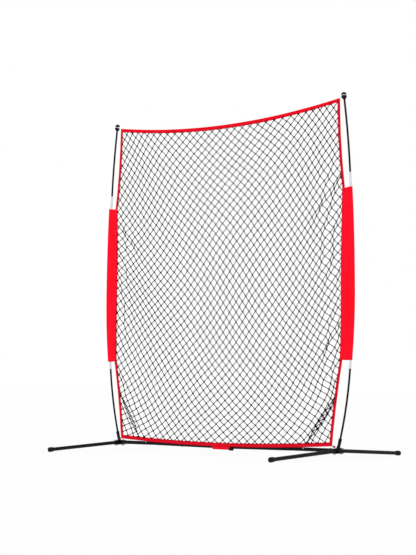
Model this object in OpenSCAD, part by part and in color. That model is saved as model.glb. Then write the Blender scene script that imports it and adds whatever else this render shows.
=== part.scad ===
// Pitching target net: a knotted net on two bowed poles and a fold-out tube base.
// X runs along the base bar, -Y is the side that is pitched at, +Z is up.
// The origin is on the ground, midway between the two hubs.

/* [Base] */
// Distance between the centres of the two hubs
hub_span = 1760; // [1500:10:2200]
// Height of the leg pivots above the ground
leg_axis_z = 45; // [38:1:70]
// Distance from a hub centre to the outer face of a foot cap
leg_reach = 625; // [450:5:900]
// Distance from a hub centre to each leg pivot
pivot_offset = 32; // [30:1:45]
// Place along a leg where its two tubes join
leg_joint_at = 300; // [200:5:380]
// Height of the base bar where it meets the hubs
base_bar_z = 48; // [44:1:60]
// How far the middle of the base bar sags
base_sag = 5; // [0:1:10]
// Length of each base arm, from its hub to the snap joint
base_arm_length = 254; // [150:2:400]
// Outer diameter of the base and leg tubes
tube_d = 22; // [20:0.5:24]
// Wall of the base and leg tubes
tube_wall = 1.4; // [1.2:0.1:2]
// Length of a tube end that is pushed into the next tube
swage_length = 55; // [40:1:80]
// Length of the sleeve that joins the two base tubes inside
coupler_length = 160; // [100:5:240]

/* [Hubs] */
// Width of a hub along the base bar
hub_width = 32; // [28:1:44]
// Thickness of a hub plate
plate_t = 2.5; // [2:0.5:4]
// Room above and below a leg tube between the hub plates
leg_play = 1; // [0.9:0.1:2]
// Diameter of the leg pivot bolts
pivot_bolt_d = 8; // [6:1:10]
// Diameter of the bolts that hold the base arms
arm_bolt_d = 6; // [5:1:8]
// Distance from a hub centre to its arm bolt
arm_bolt_at = 54; // [40:1:70]
// Length of the hub spigot inside a base arm
spigot_length = 80; // [70:1:100]

/* [Foot caps] */
// Outer diameter of a foot cap
foot_d = 30; // [27:0.5:34]
// Length of a foot cap
foot_length = 40; // [30:1:60]
// Depth of the flat on which a foot cap stands
foot_flat = 0.5; // [0.4:0.1:1]

/* [Snap joints] */
// Diameter of a snap button
snap_d = 8; // [6:0.5:9]
// How far a snap button stands out of the base bar
snap_proud = 3.2; // [2:0.2:5]
// Distance from the end of a base arm to its snap button
snap_inset = 25; // [18:1:35]
// Angle of the snap buttons above the horizontal
snap_angle = 30; // [0:5:60]

/* [Poles] */
// Length of one pole rod
rod_length = 515; // [400:5:600]
// Outer diameter of a pole rod
rod_d = 12; // [9:0.5:13]
// Bore of a pole rod
rod_bore_d = 4.4; // [3.6:0.2:5]
// Diameter of the elastic cord inside a pole
core_d = 3.4; // [2.6:0.2:3.6]
// Length of the straight end of a bent rod
rod_straight = 60; // [56:1:90]
// Outer diameter of a ferrule
ferrule_d = 15.5; // [14.5:0.5:17]
// Length of a ferrule
ferrule_length = 110; // [80:2:112]
// Outward lean of a pole in its socket
lean_foot = 14.5; // [8:0.1:18]
// Outward lean of a pole at its lower ferrule
lean_low = 4.8; // [2:0.1:7]
// Outward lean of a pole at its middle ferrule
lean_mid = -0.8; // [-1.5:0.1:1]
// Outward lean of a pole at its upper ferrule
lean_high = -3.2; // [-5:0.1:-2]
// Outward lean of a pole at its tip
lean_tip = -7.5; // [-12:0.1:-6]

/* [Pole sockets] */
// Length of a pole socket along its axis
socket_length = 57; // [45:1:90]
// Radius of a pole socket at its foot
socket_foot_r = 8.8; // [7.5:0.1:10]
// Radius of a pole socket below its rim
socket_top_r = 10; // [8.5:0.1:12]
// How far the rim of a pole socket stands out
socket_rim = 0.8; // [0.4:0.1:2]
// Distance from the hub's centre to the foot of the rod in its socket
rod_foot_at = 24; // [22:1:34]

/* [Tip knobs] */
// Largest radius of a tip knob
knob_r = 16.4; // [12:0.2:18]
// Height of the dome of a tip knob
knob_dome = 16; // [12:0.5:20]
// Height of the tapered part of a tip knob
knob_taper = 22; // [18:0.5:28]
// Height of the groove of a tip knob
knob_groove = 5.6; // [5.2:0.2:8]
// Radius of the groove of a tip knob
knob_groove_r = 9; // [7.5:0.5:10]
// Diameter of the elastic loop at each corner of the net
loop_d = 4.4; // [3:0.2:5]

/* [Net] */
// Gap from a pole or hub centre to the corner of the net
corner_gap = 30; // [26:1:50]
// Height of the bottom corners of the net above the ground
corner_low_z = 72; // [70:1:90]
// How far the top corners of the net lie below the pole ends
corner_drop = 14; // [8:1:30]
// Sag of the top edge of the net
top_sag = 67; // [20:1:120]
// Sag of the bottom edge of the net
bottom_sag = 27; // [0:1:32]
// How far the side borders bow inwards below the sleeves
side_sag_low = 6; // [0:1:12]
// How far the side borders bow inwards above the sleeves
side_sag_high = 8; // [0:1:12]
// Distance of the net's foot in front of the poles
net_forward = 15.5; // [15.5:0.5:20]
// How far the top of the net stands back from its foot
net_lean_back = 18; // [8:1:20]
// Width of the side and bottom border tapes
border_w = 18; // [14:1:30]
// Width of the top border tape
top_border_w = 24; // [14:1:34]
// Thickness of the border tape
border_t = 4; // [3:0.5:4]
// Thickness of the netting
mesh_t = 2.5; // [2:0.1:3]
// Width of a strand of the netting
strand_w = 3; // [2:0.2:5]
// Gaps across the net
net_columns = 11; // [6:1:11]
// Gaps up the net
net_rows = 12; // [6:1:12]

/* [Side sleeves] */
// Length of a side sleeve along its pole
sleeve_length = 1006; // [700:2:1010]
// How far the middle of a sleeve hangs below the middle ferrule
sleeve_drop = 18; // [0:1:20]
// Distance from the pole to the side border at the foot of a sleeve
sleeve_low_w = 51; // [34:1:60]
// Distance from the pole to the side border at the middle of a sleeve
sleeve_mid_w = 66; // [52:1:90]
// Distance from the pole to the side border at the top of a sleeve
sleeve_high_w = 42; // [34:1:60]
// Outer radius of a sleeve round its pole
sleeve_r = 11; // [10:0.5:12]
// Thickness of a sleeve where it is sewn to the net
sleeve_t = 3; // [2:0.5:3]
// Thickness of the cloth wall of a sleeve
sleeve_wall = 2; // [1.5:0.1:2.5]

/* [Centre strap] */
// Width of the centre strap
strap_w = 143; // [80:1:150]
// Thickness of the centre strap
strap_t = 1.2; // [0.8:0.1:1.2]
// Radius of the toggle of the centre strap
toggle_r = 9; // [6:0.5:9]
// Length of the toggle of the centre strap
toggle_length = 26; // [18:1:34]

/* [Hidden] */
$fn = 48;
loop_sides = 24;

black_steel = "#1b1b1c";
black_rubber = "#0f0f10";
black_plastic = "#131314";
bright_steel = "#c9ccd0";
red_cloth = "#e8182a";
net_black = "#151515";
pale_elastic = "#c4c6c8";

// Clearances
fit_clear = 0.1;
run_clear = 0.05;
seat_clear = 0.3;
swage_clear = 0.6;

// Base
hub_x = hub_span / 2;
tube_r = tube_d / 2;
bore_r = tube_r - tube_wall;
swage_r = bore_r - swage_clear;
plate_low = leg_axis_z - tube_r - leg_play;
plate_high = leg_axis_z + tube_r + leg_play;
hub_top = plate_high + plate_t;
hub_bottom = plate_low - plate_t;
leg_run = leg_reach - pivot_offset;
foot_axis_z = foot_d / 2 - foot_flat;
leg_slope = atan((leg_axis_z - foot_axis_z) / leg_run);
leg_length = leg_run / cos(leg_slope);
leg_tail = 12;
arm_start = hub_width / 2;
joint_from_hub = arm_start + base_arm_length;
joint_x = hub_x - joint_from_hub;
sag_angle = atan(base_sag / joint_x);
base_mid_z = base_bar_z - base_sag;
snap_out = tube_r + snap_proud;
snap_seat = 3.5;
leaf_t = 0.8;
leaf_w = 8;
leaf_length = 46;
cap_base_t = 6;
cap_bevel = 3;

// Poles
rod_r = rod_d / 2;
rod_sides = 16;
core_sides = 8;
bend_steps = 6;
leans = [lean_foot, lean_low, lean_mid, lean_high, lean_tip];
arc_length = rod_length - 2 * rod_straight;
function dir(a) = [sin(a), cos(a)];
function turn(i) = leans[i] - leans[i + 1];
function arc_r(i) = arc_length / (turn(i) * PI / 180);
function arc_step(i, s) = let(a = turn(i) * s / arc_length)
    2 * arc_r(i) * sin(a / 2) * dir(leans[i] - a / 2);
function rod_start(i) = i == 0
    ? [0, leg_axis_z] + rod_foot_at * dir(lean_foot)
    : rod_start(i - 1) + rod_straight * dir(leans[i - 1]) + arc_step(i - 1, arc_length)
        + rod_straight * dir(leans[i]);
// A point of the pole in [outward, up], at a length s along it
function pole_at(s) = let(i = min(3, floor(s / rod_length)), t = s - i * rod_length)
    rod_start(i) + min(t, rod_straight) * dir(leans[i])
        + arc_step(i, max(0, min(t - rod_straight, arc_length)))
        + max(0, t - rod_straight - arc_length) * dir(leans[i + 1]);
pole_end = pole_at(4 * rod_length);

// Tip knobs
knob_below = 27;
groove_low = knob_taper;
groove_high = knob_taper + knob_groove;
groove_mid = (groove_low + groove_high) / 2;
loop_r = loop_d / 2;

// Net outline: the right side, from the bottom corner to the top one
corner_low = [hub_x - corner_gap, corner_low_z];
corner_high = [hub_x + pole_end[0] - corner_gap, pole_end[1] - corner_drop];
sleeve_levels = 8;
sleeve_start = 2 * rod_length - sleeve_drop - sleeve_length / 2;
function sleeve_pole(i) = pole_at(sleeve_start + i * sleeve_length / sleeve_levels);
sleeve_bulge = sleeve_mid_w - (sleeve_low_w + sleeve_high_w) / 2;
function sleeve_width(i) = let(t = i / sleeve_levels)
    sleeve_low_w * (1 - t) + sleeve_high_w * t + sleeve_bulge * sin(180 * t);
function sleeve_seam(i) = [hub_x + sleeve_pole(i)[0] - sleeve_width(i), sleeve_pole(i)[1]];
seams = [for (i = [0:sleeve_levels]) sleeve_seam(i)];
side_steps = 5;
function bowed(from, to, sag) = [for (k = [1:side_steps - 1]) let(t = k / side_steps)
    from + t * (to - from) - [sag * 4 * t * (1 - t), 0]];
function side_line(low, line, high) = concat(
    [low], bowed(low, line[0], side_sag_low), line,
    bowed(line[len(line) - 1], high, side_sag_high), [high]);
side_outer = side_line(corner_low, seams, corner_high);
side_inner = side_line(
    corner_low + [-border_w, border_w],
    [for (p = seams) p - [border_w, 0]],
    corner_high - [border_w, top_border_w]);
edge_steps = 24;
function sagged(corner, sag, u) = [(2 * u - 1) * corner[0], corner[1] - sag * 4 * u * (1 - u)];
function edge(corner, sag) = [for (i = [0:edge_steps]) sagged(corner, sag, i / edge_steps)];
function reversed(list) = [for (i = [len(list) - 1:-1:0]) list[i]];
function mirrored(list) = [for (p = list) [-p[0], p[1]]];
inner_low = side_inner[0];
inner_high = side_inner[len(side_inner) - 1];
half_width = [for (p = side_inner) [(p[1] - inner_low[1]) / (inner_high[1] - inner_low[1]), p[0]]];
// A place on the netting: u runs across it and v up it, both from 0 to 1
function on_net(u, v) = let(
        low = sagged(inner_low, bottom_sag, u),
        high = sagged(inner_high, top_sag, u))
    [(2 * u - 1) * lookup(v, half_width), (1 - v) * low[1] + v * high[1]];
net_tilt = atan(net_lean_back / (corner_high[1] - corner_low_z));
// Middle of the net's thickness at a height above the ground
function net_y(z) = -net_forward + (z - corner_low_z) * tan(net_tilt);

// Netting gaps: the knots stand where a + b is odd on a grid of half gaps
u_halves = 2 * net_columns;
v_halves = 2 * net_rows;
function knot(a, b) = on_net(a / u_halves, b / v_halves);
function around(a, b) = [for (p = [
        a > 0 ? [a - 1, b] : [a, b],
        b > 0 ? [a, b - 1] : [a, b],
        a < u_halves ? [a + 1, b] : [a, b],
        b < v_halves ? [a, b + 1] : [a, b]
    ]) if (p != [a, b] || is_corner(a, b)) p];
function is_corner(a, b) = (a == 0 || a == u_halves) && (b == 0 || b == v_halves);
function distinct(list) = [for (i = [0:len(list) - 1]) if (list[i] != list[(i + 1) % len(list)]) list[i]];
function mean(list) = [for (k = [0:1]) sum([for (p = list) p[k]]) / len(list)];
function sum(v, i = 0) = i < len(v) ? v[i] + sum(v, i + 1) : 0;
gap_w = 2 * inner_low[0] / net_columns;
gap_h = (inner_high[1] - inner_low[1]) / net_rows;
full_gap_keep = 1 - strand_w / 2 * norm([gap_w, gap_h]) / (gap_w * gap_h / 2);
edge_gap_keep = 1 - 2 * (1 - full_gap_keep) - 0.04;
function gap_outline(a, b) = let(
        corners = [for (p = distinct(around(a, b))) knot(p[0], p[1])],
        middle = mean(corners),
        keep = len(corners) == 4 ? full_gap_keep : edge_gap_keep)
    [for (p = corners) middle + keep * (p - middle)];
gaps = [for (a = [0:u_halves], b = [0:v_halves]) if ((a + b) % 2 == 0) gap_outline(a, b)];
net_outline = concat(
    edge(inner_low, bottom_sag),
    [for (i = [1:len(side_inner) - 2]) side_inner[i]],
    reversed(edge(inner_high, top_sag)),
    reversed(mirrored([for (i = [1:len(side_inner) - 2]) side_inner[i]])));
function flatten(lists) = [for (list = lists) for (p = list) p];
function starts(lists, first) = [for (i = 0, at = first; i < len(lists); at = at + len(lists[i]), i = i + 1) at];
gap_starts = starts(gaps, len(net_outline));
net_paths = concat(
    [[for (i = [0:len(net_outline) - 1]) i]],
    [for (k = [0:len(gaps) - 1]) [for (i = [0:len(gaps[k]) - 1]) gap_starts[k] + i]]);

// Strap and toggle
strap_inner_r = tube_r + 0.9;
strap_outer_r = strap_inner_r + strap_t;
toggle_gap = 1.5;
toggle_way = 35;
toggle_from_bar = tube_r + toggle_r + 0.8;
toggle_y = -toggle_from_bar * cos(toggle_way);
toggle_z = base_mid_z - toggle_from_bar * sin(toggle_way);
strap_ear = 12;
strap_ear_t = 4;
strap_ear_out = 0.6;
strap_cord_r = 1.5;

// Net hooks
hook_root = [11, 8.5];
hook_ball_at = [17.5, 13.5, 12];
hook_ball_r = 4.6;
hook_stem_r = 2.8;
hook_along = [-(hook_ball_at[0] - hook_root[0]), -(hook_ball_at[1] - hook_root[1]), hook_ball_at[2]];
hook_length = norm(hook_along);
hook_tilt = acos(hook_along[2] / hook_length);
hook_turn = atan2(hook_along[1], hook_along[0]);
hook_loop_r = 1.6;

// ---------- Base

module at_right_hub() {
    translate([hub_x, 0, 0]) children();
}

module on_both_sides() {
    children();
    mirror([1, 0, 0]) children();
}

module hub_plate(low) {
    translate([0, 0, low])
        difference() {
            union() {
                translate([-hub_width / 2, -pivot_offset, 0]) cube([hub_width, 2 * pivot_offset, plate_t]);
                for (side = [-1, 1])
                    translate([0, side * pivot_offset, 0]) cylinder(h = plate_t, r = hub_width / 2);
            }
            for (side = [-1, 1])
                translate([0, side * pivot_offset, -1])
                    cylinder(h = plate_t + 2, r = pivot_bolt_d / 2 + run_clear);
        }
}

module right_hub() {
    block_half = pivot_offset - 18;
    color(black_steel)
        at_right_hub()
            difference() {
                union() {
                    hub_plate(hub_bottom);
                    hub_plate(plate_high);
                    translate([-hub_width / 2, -block_half, plate_low])
                        cube([hub_width, 2 * block_half, plate_high - plate_low]);
                    translate([-hub_width / 2, 0, base_bar_z])
                        rotate([0, -90, 0]) cylinder(h = spigot_length, r = bore_r - fit_clear);
                }
                translate([-arm_bolt_at, 0, 0]) cylinder(h = 2 * base_bar_z, r = arm_bolt_d / 2 + run_clear);
            }
}

module left_hub() {
    mirror([1, 0, 0]) right_hub();
}

// A line along a leg of the front right corner, with +Z along it
module along_leg(from) {
    translate([hub_x, -pivot_offset, leg_axis_z])
        rotate([90 + leg_slope, 0, 0])
            translate([0, 0, from]) children();
}

module leg_inner() {
    color(black_steel)
        difference() {
            union() {
                along_leg(-leg_tail)
                    difference() {
                        cylinder(h = leg_joint_at + leg_tail, r = tube_r);
                        translate([0, 0, -1]) cylinder(h = leg_joint_at + leg_tail + 2, r = bore_r);
                    }
                along_leg(leg_joint_at - tube_wall)
                    difference() {
                        cylinder(h = swage_length + tube_wall, r = bore_r - fit_clear);
                        translate([0, 0, -1])
                            cylinder(h = swage_length + tube_wall + 2, r = bore_r - fit_clear - tube_wall);
                    }
                along_leg(leg_joint_at - tube_wall)
                    difference() {
                        cylinder(h = tube_wall, r = tube_r);
                        translate([0, 0, -1]) cylinder(h = tube_wall + 2, r = bore_r - fit_clear - tube_wall);
                    }
            }
            translate([hub_x, -pivot_offset, 0])
                cylinder(h = 2 * leg_axis_z, r = pivot_bolt_d / 2 + run_clear);
        }
}

module leg_outer() {
    outer_length = leg_length - cap_base_t - leg_joint_at;
    color(black_steel)
        along_leg(leg_joint_at)
            difference() {
                cylinder(h = outer_length, r = tube_r);
                translate([0, 0, -1]) cylinder(h = outer_length + 2, r = bore_r);
            }
}

module foot_cap() {
    color(black_rubber)
        difference() {
            along_leg(leg_length - foot_length)
                rotate_extrude()
                    polygon([
                        [tube_r + fit_clear, 0],
                        [foot_d / 2 - 1, 0],
                        [foot_d / 2, 1],
                        [foot_d / 2, foot_length - cap_bevel],
                        [foot_d / 2 - cap_bevel, foot_length],
                        [0, foot_length],
                        [0, foot_length - cap_base_t],
                        [tube_r + fit_clear, foot_length - cap_base_t]
                    ]);
            translate([hub_x - foot_d, -leg_reach - foot_d, -foot_d])
                cube([2 * foot_d, leg_reach, foot_d]);
        }
}

module to_corner(left, back) {
    mirror([left ? 1 : 0, 0, 0]) mirror([0, back ? 1 : 0, 0]) children();
}

module right_base_arm() {
    color(black_steel)
        difference() {
            translate([hub_x - arm_start, 0, base_bar_z])
                rotate([0, -90, 0])
                    difference() {
                        cylinder(h = base_arm_length, r = tube_r);
                        translate([0, 0, -1]) cylinder(h = base_arm_length + 2, r = bore_r);
                    }
            translate([hub_x - arm_bolt_at, 0, 0])
                cylinder(h = 2 * base_bar_z, r = arm_bolt_d / 2 + run_clear);
            snap_axis() cylinder(h = 2 * tube_r, r = snap_d / 2 + run_clear);
        }
}

// The line of the right snap button, with +Z pointing out of the base bar
module snap_axis() {
    translate([joint_x + snap_inset, 0, base_bar_z]) rotate([90 - snap_angle, 0, 0]) children();
}

// The line of the right base tube, with +Z towards its hub
module along_base_tube() {
    translate([joint_x, 0, base_bar_z]) rotate([0, 90 - sag_angle, 0]) children();
}

module right_base_tube() {
    tube_length = joint_x / cos(sag_angle) - seat_clear;
    color(black_steel)
        difference() {
            union() {
                along_base_tube()
                    translate([0, 0, -tube_length])
                        difference() {
                            cylinder(h = tube_length - fit_clear, r = tube_r);
                            translate([0, 0, -1]) cylinder(h = tube_length - tube_wall + 1, r = bore_r);
                            cylinder(h = tube_length + 1, r = swage_r - tube_wall);
                        }
                along_base_tube()
                    translate([0, 0, -tube_wall])
                        difference() {
                            cylinder(h = swage_length + tube_wall, r = swage_r);
                            translate([0, 0, -1])
                                cylinder(h = swage_length + tube_wall + 2, r = swage_r - tube_wall);
                        }
            }
            snap_axis() cylinder(h = 2 * tube_r, r = snap_d / 2 + run_clear);
        }
}

module base_coupler() {
    coupler_r = bore_r - 0.9;
    color(black_steel)
        translate([-coupler_length / 2, 0, base_mid_z])
            rotate([0, 90, 0])
                difference() {
                    cylinder(h = coupler_length, r = coupler_r);
                    translate([0, 0, -1]) cylinder(h = coupler_length + 2, r = coupler_r - tube_wall);
                }
}

module arm_bolts() {
    head_r = 5.5;
    head_h = 3.4;
    color(black_steel)
        on_both_sides()
            translate([hub_x - arm_bolt_at, 0, 0]) {
                translate([0, 0, base_bar_z - tube_r - 5.5])
                    cylinder(h = 2 * tube_r + 5.5, r = arm_bolt_d / 2);
                translate([0, 0, base_bar_z + tube_r])
                    rotate_extrude()
                        polygon([
                            [0, 0],
                            [head_r, 0],
                            [head_r, head_h / 2],
                            [head_r - 1.6, head_h],
                            [0, head_h]
                        ]);
            }
}

module arm_nuts() {
    nut_h = 5;
    color(bright_steel)
        on_both_sides()
            translate([hub_x - arm_bolt_at, 0, base_bar_z - tube_r - nut_h])
                difference() {
                    cylinder(h = nut_h, r = 5.8, $fn = 6);
                    translate([0, 0, -1]) cylinder(h = nut_h + 2, r = arm_bolt_d / 2 + run_clear);
                }
}

module at_pivots() {
    on_both_sides()
        for (side = [-1, 1])
            translate([hub_x, side * pivot_offset, 0]) children();
}

module pivot_bolts() {
    head_r = 7.2;
    head_h = 4.4;
    shank_low = hub_bottom - 8;
    color(black_steel)
        at_pivots() {
            translate([0, 0, shank_low]) cylinder(h = hub_top - shank_low, r = pivot_bolt_d / 2);
            translate([0, 0, hub_top])
                rotate_extrude()
                    polygon([
                        [0, 0],
                        [head_r, 0],
                        [head_r, head_h / 2],
                        [head_r - 2, head_h],
                        [0, head_h]
                    ]);
        }
}

module pivot_nuts() {
    nut_h = 6.5;
    color(bright_steel)
        at_pivots()
            translate([0, 0, hub_bottom - nut_h])
                difference() {
                    cylinder(h = nut_h, r = 7.5, $fn = 6);
                    translate([0, 0, -1]) cylinder(h = nut_h + 2, r = pivot_bolt_d / 2 + run_clear);
                }
}

module right_snap_button() {
    color(bright_steel)
        snap_axis()
            rotate_extrude()
                polygon(concat(
                    [[0, snap_seat], [snap_d / 2, snap_seat]],
                    [for (a = [0:15:90]) [
                        snap_d / 2 * (0.4 + 0.6 * cos(a)),
                        snap_out - snap_d / 4 * (1 - sin(a))
                    ]],
                    [[0, snap_out]]));
}

module right_snap_spring() {
    color(bright_steel)
        snap_axis()
            translate([-leaf_w / 2, -leaf_w / 2, snap_seat - leaf_t])
                cube([leaf_length / 2 + leaf_w / 2, leaf_w, leaf_t]);
}

// ---------- Poles

// Rings round the right pole, square to it, at the given lengths along it
function pole_lean(s) = let(i = min(3, floor(s / rod_length)), t = s - i * rod_length)
    leans[i] - turn(i) * max(0, min(t - rod_straight, arc_length)) / arc_length;
function pole_rings(lengths, r, sides) = [for (s = lengths)
    let(centre = pole_at(s), lean = pole_lean(s))
        [for (k = [0:sides - 1]) let(a = 360 * k / sides) [
            hub_x + centre[0] + r * cos(a) * cos(lean),
            r * sin(a),
            centre[1] - r * cos(a) * sin(lean)
        ]]];
function rod_levels(i) = let(start = i * rod_length)
    concat(
        [start],
        [for (k = [0:bend_steps]) start + rod_straight + k * arc_length / bend_steps],
        [start + rod_length]);

// A tube between an outer and an inner row of rings, or a solid bar where there is no inner row
module loft(outer, inner = []) {
    n = len(outer[0]);
    rows = len(outer);
    inside = n * rows;
    function next(k) = (k + 1) % n;
    function wall(base, i, k) = [base + n * i + k, base + n * (i + 1) + k,
        base + n * (i + 1) + next(k), base + n * i + next(k)];
    function rim(base, k) = [base + k, base + next(k), inside + base + next(k), inside + base + k];
    function split(q) = [[q[0], q[1], q[2]], [q[0], q[2], q[3]]];
    function fan(base) = [for (k = [1:n - 2]) [base, base + k, base + k + 1]];
    last = n * (rows - 1);
    outside_faces = [for (i = [0:rows - 2], k = [0:n - 1]) each split(wall(0, i, k))];
    inside_faces = [for (i = [0:rows - 2], k = [0:n - 1]) each split(reversed(wall(inside, i, k)))];
    rims = [for (k = [0:n - 1]) each concat(split(rim(0, k)), split(reversed(rim(last, k))))];
    caps = concat(fan(0), [for (f = fan(last)) reversed(f)]);
    polyhedron(
        points = concat(flatten(outer), flatten(inner)),
        faces = len(inner) > 0 ? concat(outside_faces, inside_faces, rims) : concat(outside_faces, caps));
}

module rod(i) {
    color(black_plastic)
        loft(
            pole_rings(rod_levels(i), rod_r, rod_sides),
            pole_rings(rod_levels(i), rod_bore_d / 2, rod_sides));
}

module right_core_cord() {
    levels = concat(rod_levels(0), [for (i = [1:3]) each [for (k = [1:bend_steps + 2]) rod_levels(i)[k]]]);
    color(pale_elastic)
        loft(pole_rings(levels, core_d / 2, core_sides));
}

module right_ferrules() {
    color(bright_steel)
        for (i = [1:3]) {
            middle = rod_start(i);
            translate([hub_x + middle[0], 0, middle[1]])
                rotate([0, leans[i], 0])
                    translate([0, 0, -ferrule_length / 2])
                        difference() {
                            cylinder(h = ferrule_length, r = ferrule_d / 2);
                            translate([0, 0, -1]) cylinder(h = ferrule_length + 2, r = rod_r + fit_clear);
                        }
        }
}

module right_pole_socket() {
    gusset_t = 4;
    foot_at = rod_foot_at;
    low_at = (hub_top - leg_axis_z) / cos(lean_foot);
    top_at = low_at + socket_length;
    color(black_steel)
        at_right_hub()
            difference() {
                union() {
                    translate([0, 0, leg_axis_z])
                        rotate([0, lean_foot, 0])
                            rotate_extrude()
                                polygon([
                                    [0, low_at - 4],
                                    [socket_foot_r, low_at - 4],
                                    [socket_foot_r, low_at + 6],
                                    [socket_top_r, top_at - 8],
                                    [socket_top_r + socket_rim, top_at - 6],
                                    [socket_top_r + socket_rim, top_at],
                                    [0, top_at]
                                ]);
                    translate([0, gusset_t / 2, hub_top])
                        rotate([90, 0, 0])
                            linear_extrude(gusset_t)
                                polygon([[-13, 0], [15.5, 0], [15, 5], [8, 24], [0, 24], [-8, 6]]);
                }
                translate([-50, -50, hub_top - 50]) cube([100, 100, 50]);
                translate([0, 0, leg_axis_z])
                    rotate([0, lean_foot, 0])
                        translate([0, 0, foot_at]) cylinder(h = socket_length, r = rod_r + fit_clear);
            }
}

module along_hook(from) {
    translate([hub_x - hook_root[0], -hook_root[1], hub_top])
        rotate([0, 0, hook_turn]) rotate([0, hook_tilt, 0]) translate([0, 0, from]) children();
}

module right_net_hook() {
    color(black_steel)
        difference() {
            union() {
                along_hook(-4) cylinder(h = hook_length + 4, r = hook_stem_r);
                along_hook(hook_length) sphere(r = hook_ball_r);
            }
            translate([hub_x - 40, -40, hub_top - 20]) cube([60, 80, 20]);
        }
}

module at_right_tip() {
    translate([hub_x + pole_end[0], 0, pole_end[1]])
        rotate([0, lean_tip, 0])
            translate([0, 0, -knob_below]) children();
}

module right_tip_knob() {
    dome_low = groove_high + 1;
    color(black_plastic)
        at_right_tip()
            difference() {
                rotate_extrude()
                    polygon(concat(
                        [
                            [0, 0],
                            [rod_r + 1.6, 0],
                            [rod_r + 3, 2],
                            [knob_r * 0.85, knob_taper * 0.45],
                            [knob_r, knob_taper * 0.68],
                            [knob_r, knob_taper * 0.82],
                            [knob_r * 0.88, groove_low],
                            [knob_groove_r, groove_low],
                            [knob_groove_r, groove_high]
                        ],
                        [for (a = [0:15:90]) [
                            knob_r * 0.98 * cos(a),
                            dome_low + (knob_dome - 1) * sin(a)
                        ]]));
                translate([0, 0, -1]) cylinder(h = knob_below + 1, r = rod_r + fit_clear);
            }
}

// ---------- Net

module upright(t) {
    translate([0, -net_forward, corner_low_z])
        rotate([-net_tilt, 0, 0])
            translate([0, t / 2, -corner_low_z]) rotate([90, 0, 0]) linear_extrude(t) children();
}

module net() {
    color(net_black)
        upright(mesh_t)
            polygon(points = concat(net_outline, flatten(gaps)), paths = net_paths);
}

module top_tape() {
    upright(border_t) polygon(concat(edge(corner_high, top_sag), reversed(edge(inner_high, top_sag))));
}

module bottom_tape() {
    upright(border_t) polygon(concat(edge(corner_low, bottom_sag), reversed(edge(inner_low, bottom_sag))));
}

module side_tape() {
    upright(border_t) polygon(concat(side_outer, reversed(side_inner)));
}

module top_border() {
    color(red_cloth) top_tape();
}

module bottom_border() {
    color(red_cloth) bottom_tape();
}

module right_border() {
    color(red_cloth) side_tape();
}

sleeve_hem = 12;
sleeve_turn = 110;
sleeve_arc = [-sleeve_turn, -90, -70, -50, -30, -10, 10, 30, 50, 70, 90, sleeve_turn];
function sleeve_round(i, r) = let(pole = sleeve_pole(i))
    [for (a = sleeve_arc) [hub_x + pole[0] + r * cos(a), r * sin(a), pole[1]]];
// Half the room across a sleeve, and the middle of it, where the inside begins
function sleeve_share(i) = sleeve_hem / (sleeve_width(i) + sleeve_r * cos(sleeve_turn));
function sleeve_half(i) = let(s = sleeve_share(i))
    (1 - s) * sleeve_t / 2 + s * sleeve_r * sin(sleeve_turn) - sleeve_wall * 0.7;
function sleeve_outer_ring(i) = let(seam = sleeve_seam(i), y = net_y(seam[1]))
    concat(
        [[seam[0], y - sleeve_t / 2, seam[1]]],
        sleeve_round(i, sleeve_r),
        [[seam[0], y + sleeve_t / 2, seam[1]]]);
function sleeve_inner_ring(i) = let(
        seam = sleeve_seam(i),
        y = (1 - sleeve_share(i)) * net_y(seam[1]))
    concat(
        [[seam[0] + sleeve_hem, y - sleeve_half(i), seam[1]]],
        sleeve_round(i, sleeve_r - sleeve_wall),
        [[seam[0] + sleeve_hem, y + sleeve_half(i), seam[1]]]);

module right_sleeve() {
    color(red_cloth)
        loft(
            [for (i = [0:sleeve_levels]) sleeve_outer_ring(i)],
            [for (i = [0:sleeve_levels]) sleeve_inner_ring(i)]);
}

// A straight round cord from one point to another
module cord_between(from, to, r) {
    way = to - from;
    translate(from)
        rotate([0, acos(way[2] / norm(way)), atan2(way[1], way[0])])
            cylinder(h = norm(way), r = r, $fn = loop_sides);
}

module top_right_loop() {
    groove_centre = [hub_x + pole_end[0], 0, pole_end[1]]
        + (groove_mid - knob_below) * [sin(lean_tip), 0, cos(lean_tip)];
    ring_r = knob_groove_r + fit_clear + loop_r;
    tab = [corner_high[0] - 2, net_y(corner_high[1] - 3), corner_high[1] - 3];
    way = [tab[0] - groove_centre[0], tab[1] - groove_centre[1], 0];
    ring_side = groove_centre + ring_r / norm(way) * way;
    color(pale_elastic)
        difference() {
            union() {
                at_right_tip()
                    translate([0, 0, groove_mid])
                        rotate_extrude() translate([ring_r, 0]) circle(r = loop_r, $fn = loop_sides);
                cord_between(ring_side, tab, loop_r * 0.7);
            }
            top_tape();
            side_tape();
        }
}

module bottom_right_loop() {
    ring_r = hook_stem_r + fit_clear + hook_loop_r;
    ring_at = hook_length - hook_ball_r - hook_loop_r - 1;
    ring_centre = [hub_x - hook_root[0], -hook_root[1], hub_top] + ring_at / hook_length * hook_along;
    ring_side = ring_centre + ring_r * [-cos(hook_tilt), 0, -0.6];
    tab = [corner_low[0] - 2, net_y(corner_low[1] + 1.5), corner_low[1] + 1.5];
    color(red_cloth)
        difference() {
            union() {
                along_hook(ring_at)
                    rotate_extrude() translate([ring_r, 0]) circle(r = hook_loop_r, $fn = loop_sides);
                cord_between(ring_side, tab, hook_loop_r * 0.75);
            }
            bottom_tape();
            side_tape();
        }
}

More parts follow.
